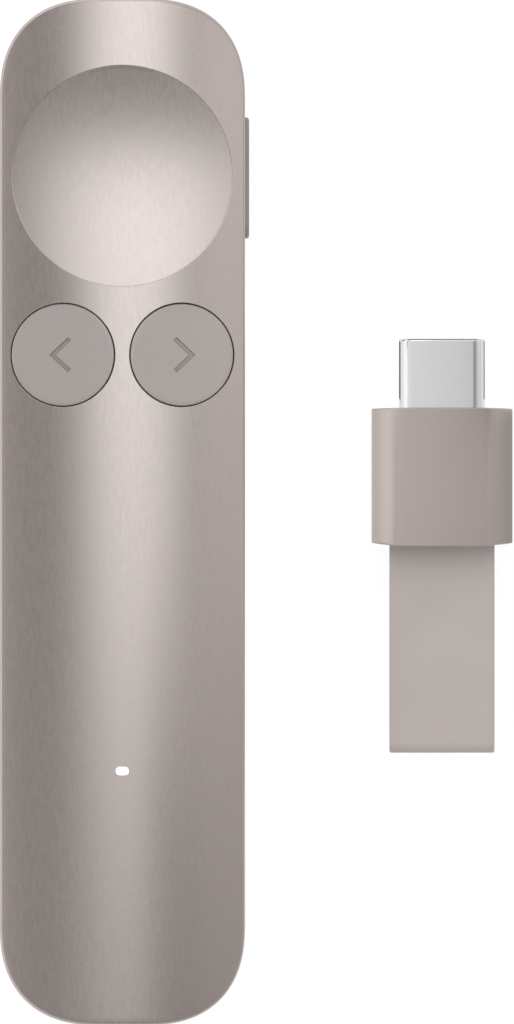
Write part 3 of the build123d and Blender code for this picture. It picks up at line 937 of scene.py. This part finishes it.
def arched(end, arch, x):
    """Place along Y of an arched end at a distance x from its middle."""
    radius = ((receiver_width / 2) ** 2 + arch ** 2) / (2 * arch)
    way = 1 if end > 0 else -1
    return end - way * (radius - math.sqrt(radius * radius - x * x))


def section(inset, end, arch, back):
    """A loop of the receiver's cross-section, a given way back from an arched end."""
    width = receiver_width - 2 * inset
    height = receiver_thickness - 2 * inset
    way = 1 if end > 0 else -1
    loop = []
    for a, b in rounded_rectangle(width, height, receiver_corner - inset, 20):
        loop.append((receiver_x + a, arched(end, arch, a) - way * back, receiver_z + b))
    return loop


def end_rows(end, arch):
    """Loops round one end of the sleeve: over its rounding from outside, and the same down its inside."""
    turns = [math.radians(90 - 15 * i) for i in range(7)]
    outer = [(end_round * (1 - math.sin(t)), end_round * (1 - math.cos(t))) for t in turns]
    inner = [(sleeve_wall - 0.08, 0.0), (sleeve_wall, 0.08), (sleeve_wall, 1.0)]
    return [section(inset, end, arch, back) for inset, back in outer + inner]


front_rows = end_rows(sleeve_high.y, front_arch)
tail_rows = end_rows(sleeve_low.y - tail_longer, tail_arch)
sleeve = stack("receiver_sleeve_skin", front_rows + tail_rows[::-1], ring=True)
settle(sleeve, "receiver", "receiver_metal", "receiver_sleeve")

# %% [markdown]
# ## The plug
# The plug's shell is drawn from steel sheet and polished. Its tip is rolled in a little, and its mouth
# shows the dark moulded core with the contacts.

# %% Plug shell
plug_low, plug_high = box_mm("plug_shell")
plug_width = plug_high.x - plug_low.x
plug_height = plug_high.z - plug_low.z
plug_corner = 1.15
plug_sheet = 0.3
plug_length = plug_high.y - plug_low.y
plug_rings = []
for inset, back in ((0, plug_length), (0, 0.25), (0.02, 0.14), (0.07, 0.05), (0.15, 0), (0.22, 0), (0.28, 0.05),
                    (plug_sheet, 0.12), (plug_sheet, plug_length)):
    outline = rounded_rectangle(plug_width - 2 * inset, plug_height - 2 * inset, plug_corner - inset, 14)
    plug_rings.append([(receiver_x + a, plug_high.y - back, receiver_z + b) for a, b in outline])
settle(stack("plug_shell_skin", plug_rings, ring=True), "receiver", "polished_steel", "plug_shell")

# %% [markdown]
# ## The pull strap
# The strap is one band, laid double: round the cross pin inside the housing and folded at its free end.
# Its middle line is a path, and its cross-section is the same all the way, so Geometry Nodes sweep a
# rounded rectangle along that path.

# %% Strap
strap_low, strap_high = box_mm("receiver_strap")
strap_width = strap_high.x - strap_low.x
strap_end = strap_low.y
pin_low, pin_high = box_mm("strap_pin")
pin_y = (pin_low.y + pin_high.y) / 2
strap_layer = 0.85
layer_gap = 0.2
eye_bore = 0.75
eye_run = 2.2
layer_middle = (layer_gap + strap_layer) / 2
eye_radius = eye_bore + strap_layer / 2


def strap_path():
    """Middle line of the band, as a closed loop of points in (y, z)."""
    fold = strap_end + layer_middle + strap_layer / 2
    points = []
    for i in range(25):
        turn = math.pi / 2 + math.pi * i / 24
        points.append((fold + layer_middle * math.cos(turn), layer_middle * math.sin(turn)))
    lower = []
    for i in range(1, 60):
        y = fold + (pin_y - fold) * i / 60
        opened = max(0.0, min(1.0, (y - (pin_y - eye_run)) / eye_run))
        opened = opened * opened * (3 - 2 * opened)
        lower.append((y, -layer_middle - (eye_radius - layer_middle) * opened))
    points += lower
    for i in range(33):
        turn = -math.pi / 2 + math.pi * i / 32
        points.append((pin_y + eye_radius * math.cos(turn), eye_radius * math.sin(turn)))
    points += [(y, -z) for y, z in reversed(lower)]
    return points


def strap_tree():
    """Sweep a rounded rectangle along a path."""
    t = Tree("strap_band", {"Width": strap_width * MM, "Layer": strap_layer * MM, "Edge Radius": 0.2 * MM})
    width, layer, radius = t.sizes
    path = t.out("GeometryNodeMeshToCurve", {"Mesh": t.entry["Geometry"]})
    section = t.slab(width, layer, 6, radius)
    return t.finish([t.out("GeometryNodeCurveToMesh", {"Curve": path, "Profile Curve": section})])


def strap_line():
    """The path as a closed chain of edges."""
    points = [Vector((receiver_x, y, receiver_z + z)) * MM for y, z in strap_path()]
    chain = bpy.data.meshes.new("strap_line")
    chain.from_pydata(points, [(i, (i + 1) % len(points)) for i in range(len(points))], [])
    return chain


strap = grow("strap_band", strap_tree(), {}, "strap_rubber", strap_line())
smooth_by_angle(strap.data, 40)
check_closed(strap)
dress(strap, "strap_rubber")
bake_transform(strap)
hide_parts("receiver_strap")

# %% [markdown]
# ## Contacts
# A plug of this kind has two rows of twelve contacts at one pitch, and so has the port in the dock. That
# is what Geometry Nodes are for: one springy bar with rounded edges, set out along a line of points.

# %% Contact rows
contact_sizes = {"Pitch": 0.5 * MM, "Width": 0.28 * MM, "Thickness": 0.05 * MM, "Length": 3.8 * MM, "Count": 12.0}


def contact_tree():
    """One row of bars along X, centred on the origin; each bar starts at y = 0."""
    t = Tree("contact_row", contact_sizes)
    pitch, width, thickness, length, count = t.sizes
    bar = t.out("GeometryNodeCurvePrimitiveLine", {"End": t.point(0.0, length, 0.0)})
    bar = t.out("GeometryNodeResampleCurve", {"Curve": bar, "Count": 9})
    section = t.slab(width, thickness, 3, thickness * 0.4)
    bar = t.out("GeometryNodeCurveToMesh", {"Curve": bar, "Profile Curve": section, "Fill Caps": True})
    start = t.point(pitch * (count - 1.0) * -0.5, 0.0, 0.0)
    line = {"Count": count, "Start Location": start, "Offset": t.point(pitch, 0.0, 0.0)}
    places = t.out("GeometryNodeMeshLine", line)
    row = t.out("GeometryNodeInstanceOnPoints", {"Points": places, "Instance": bar})
    return t.finish([row], weld=0.0)


contact_row = contact_tree()


def contact_rows(node):
    """Both rows of contacts, set where the node's own are."""
    low, high = box_mm(node)
    thick = contact_sizes["Thickness"] / MM
    both = bmesh.new()
    for z in (low.z + thick / 2, high.z - thick / 2):
        row = grow("row", contact_row, contact_sizes, "gold_contacts")
        row.data.transform(Matrix.Translation(Vector(((low.x + high.x) / 2, low.y, z)) * MM))
        both.from_mesh(row.data)
        bpy.data.objects.remove(row)
    return finish_mesh(both, node + "_rows", 40)


settle(contact_rows("plug_contacts"), "receiver", "gold_contacts", "plug_contacts")
settle(contact_rows("charge_port_contacts"), "clicker", "gold_contacts", "charge_port_contacts")

# %% [markdown]
# ## Everything else
# The other pieces are the frame's own: boards, chips, screws, the cell, the frame that carries them, and
# the moulded ends of the dock and the receiver. Their shapes are right as they are, so each only gets
# the finish of its slot.

# %% Finishes for the frame's own pieces
for part in frame["record"]["subparts"]:
    for slot in frame["nodes"][part["node"]].material_slots:
        slot.material = finishes[part["material_slot"]]

# %% [markdown]
# ## Light
# Metal shows what is around it, so the light is a room to be mirrored more than a set of lamps. A wide
# softbox hangs high over the nose and ends over the buttons: it draws the bright ridge along the crown
# and lets it fade towards the tail, and its sides fade out because a hard edge would show in the metal.
# The other cards only show in mirrors, like the flags that hang round a watch in a studio. One keeps the
# right flank an even grey, and one hides the softbox from the tail's right half. Those round the receiver
# keep its faces even and draw the plug's edges; the two dark ones that lie on the floor under the plug
# are painted shade, in place of the plug's shadow where its edges mirror the floor. They are tied to its
# sleeve, so that it keeps its look wherever it is pushed.
# Every card is lit on one side alone, and can't be seen itself.

# %% Cards of light


class OneSided(Nodes):
    """A material of plain shaders that shows on its front alone."""

    def __init__(self, name):
        self.material = bpy.data.materials.new(name)
        self.material.use_nodes = True
        super().__init__(self.material.node_tree)
        self.group.nodes.clear()
        self.clear = self.out("BsdfTransparent")

    def close(self, front):
        """Show a shader on the front and nothing on the back, and hand over the material."""
        back = self.node("NewGeometry").outputs["Backfacing"]
        self.node("OutputMaterial", {"Surface": self.out("MixShader", {0: back, 1: front, 2: self.clear})})
        return self.material


def glowing(name, axis, ends, levels, fades=(), colour=(1, 1, 1), covers=False):
    """A material that gives off light: its level changes along an axis, and edges may fade out softly.

    What lies behind it is covered, as by paper, or else its light is added to that.
    """
    light = OneSided(name)
    place = light.node("TexCoord").outputs["Object"]
    place = light.node("SeparateXYZ", {"Vector": place}).outputs
    limits = {"Value": place[axis], "From Min": ends[0] * MM, "From Max": ends[1] * MM}
    level = light.out("MapRange", {**limits, "To Min": levels[0], "To Max": levels[1]})
    for across, start, stop in fades:
        fade = {"Value": place[across], "From Min": start * MM, "From Max": stop * MM}
        fade = light.out("MapRange", fade, interpolation_type="SMOOTHSTEP")
        if not covers:
            level = light.out("Math", {0: level, 1: fade}, operation="MULTIPLY")
    glow = light.out("Emission", {"Color": (*colour, 1), "Strength": level})
    if covers:
        glow = light.out("MixShader", {0: fade, 1: light.clear, 2: glow})
    elif fades:
        glow = light.out("AddShader", {0: glow, 1: light.clear})
    return light.close(glow)


def card(name, corners, material, only_mirrored=True, carrier=None):
    """A sheet of light that isn't part of the object; its corners run anticlockwise on its lit side."""
    mesh = bpy.data.meshes.new(name)
    mesh.from_pydata([Vector(corner) * MM for corner in corners], [], [(0, 1, 2, 3)])
    mesh.materials.append(material)
    piece = new_object(name, mesh)
    piece.visible_camera = False
    piece.visible_diffuse = piece.visible_shadow = not only_mirrored
    piece.parent = carrier


def lying(low, high, z, lit="down"):
    """Corners of a level card."""
    corners = [(low[0], low[1], z), (low[0], high[1], z), (high[0], high[1], z), (high[0], low[1], z)]
    return corners if lit == "down" else corners[::-1]


def standing(x, low, high, lit="right"):
    """Corners of a card that stands along Y, between two corners given as (y, z)."""
    corners = [(x, low[0], low[1]), (x, high[0], low[1]), (x, high[0], high[1]), (x, low[0], high[1])]
    return corners if lit == "right" else corners[::-1]


# %% The softbox, and the cards over the flank and the tail
softbox_fades = [("X", -215, -3), ("X", 268, 57), ("Y", -26, -18)]
softbox = glowing("softbox_light", "Y", (-30, 300), (2.23, 1.55), softbox_fades, (0.95, 1.0, 1.04))
card("softbox", lying((-215, -26), (268, 600), 561), softbox, only_mirrored=False)
flank_light = glowing("flank_light", "Y", (-47, 40), (0.60, 1.14))
card("flank_card", lying((29, -55), (80, 60), 60), flank_light)
tail_light = glowing("tail_light", "Y", (-50, -20), (0.48, 0.70), [("Y", 4, -28)], covers=True)
card("tail_card", lying((9, -60), (29, 4), 60), tail_light)

# %% The receiver's cards
over = glowing("over_receiver_light", "X", (20.5, 41), (1.03, 0.64))
stripe = glowing("stripe_light", "X", (35, 41), (0.39, 0.39))
left = glowing("left_light", "Z", (0, 10), (0.98, 1.34))
right = glowing("right_light", "Z", (0, 8), (0.55, 0.74))
# Painted shade: the darkest card and the dark grey one lie on the floor under the plug, where its shadow falls;
# the same dark grey also stands beyond the plug's tip as a flag.
dark_left = glowing("dark_left", "X", (15, 25), (0.03, 0.03))
dark_right = glowing("dark_right", "X", (36, 41), (0.30, 0.30))
receiver_cards = {
    "over_receiver": (lying((20.5, -12), (41, 10), 20), over),
    "over_plug": (lying((18, 10), (35.2, 24), 20), over),
    "plug_stripe": (lying((35.2, 10), (45, 24), 20), stripe),
    "left_of_receiver": (standing(16, (-6, 0), (19, 22)), left),
    "right_of_receiver": (standing(40.5, (-6, 0), (10, 12), "left"), right),
    "right_at_foot": (lying((37.8, -6), (40.5, 10), 0.05, "up"), right),
    # Painted shade: these two lie on the floor under the plug, where its shadow falls.
    "left_under_plug": (lying((21.3, 11), (25.8, 17), 0.05, "up"), dark_left),
    "right_under_plug": (lying((35.6, 11), (40, 17), 0.05, "up"), dark_right),
    "beyond_plug": ([(26, 20, 0), (36, 20, 0), (36, 20, 8), (26, 20, 8)], dark_right),
}
for name, (corners, light) in receiver_cards.items():
    card(name, corners, light, carrier=sleeve)

# %% [markdown]
# The room is a gradient: one level straight up, and another near the horizon that is higher to the left
# and to the nose. It is written in the world's own nodes from the direction that a ray looks in.

# %% Room
room_above, room_low = 0.435, 1.15
turns_at = (0.86, 0.50)  # how steeply up a ray looks where the room starts to change, and where it has
more_to_left, more_to_nose = -0.35, 0.30
world = bpy.data.worlds.new("room")
bpy.context.scene.world = world
world.use_nodes = True
room = Nodes(world.node_tree)
way = room.node("SeparateXYZ", {"Vector": room.node("TexCoord").outputs["Generated"]}).outputs
lower = {"Value": way["Z"], "From Min": turns_at[0], "From Max": turns_at[1]}
lower = room.out("MapRange", lower, interpolation_type="SMOOTHSTEP")
to_left = room.out("Math", {0: way["X"], 1: more_to_left, 2: room_low}, operation="MULTIPLY_ADD")
to_nose = room.out("Math", {0: way["Y"], 1: more_to_nose, 2: to_left}, operation="MULTIPLY_ADD")
level = room.out("MapRange", {"Value": lower, "To Min": room_above, "To Max": to_nose})
background = world.node_tree.nodes["Background"].inputs
background["Color"].default_value = (1, 1, 1, 1)
room.feed(background["Strength"], level)

# %% [markdown]
# ## Floor
# The floor is plain and white. To the eye, and in mirrors, it gives off a white of its own, so that it
# needs no extra light on the object. A share of it stays an ordinary matt surface, which keeps the soft
# shadow at the object's foot. It lies a hair below the object, and seen from below it is clear, so that
# the object's back can be looked at as well.

# %% Floor
floor_reach = 3.0
floor_z = -0.02 * MM
matt_share, faint_share, own_white = 0.80, 0.12, 0.93
floor_mesh = bpy.data.meshes.new("floor")
corners = [(x * floor_reach, y * floor_reach, floor_z) for x, y in ((-1, -1), (1, -1), (1, 1), (-1, 1))]
floor_mesh.from_pydata(corners, [], [(0, 1, 2, 3)])
paper = OneSided("floor_paper")
seen = paper.node("LightPath").outputs
straight = paper.out("Math", {0: seen["Is Camera Ray"], 1: seen["Is Glossy Ray"]}, operation="MAXIMUM")
straight = paper.out("Math", {0: straight, 1: seen["Is Transmission Ray"]}, operation="MAXIMUM")
matt = paper.out("BsdfDiffuse", {"Color": (matt_share,) * 3 + (1,)})
faint = paper.out("BsdfDiffuse", {"Color": (faint_share,) * 3 + (1,)})
bright = paper.out("AddShader", {0: faint, 1: paper.out("Emission", {"Strength": own_white})})
either = paper.out("MixShader", {0: straight, 1: matt, 2: bright})
floor_mesh.materials.append(paper.close(either))
new_object("floor", floor_mesh)

bpy.context.scene.view_settings.view_transform = "Standard"
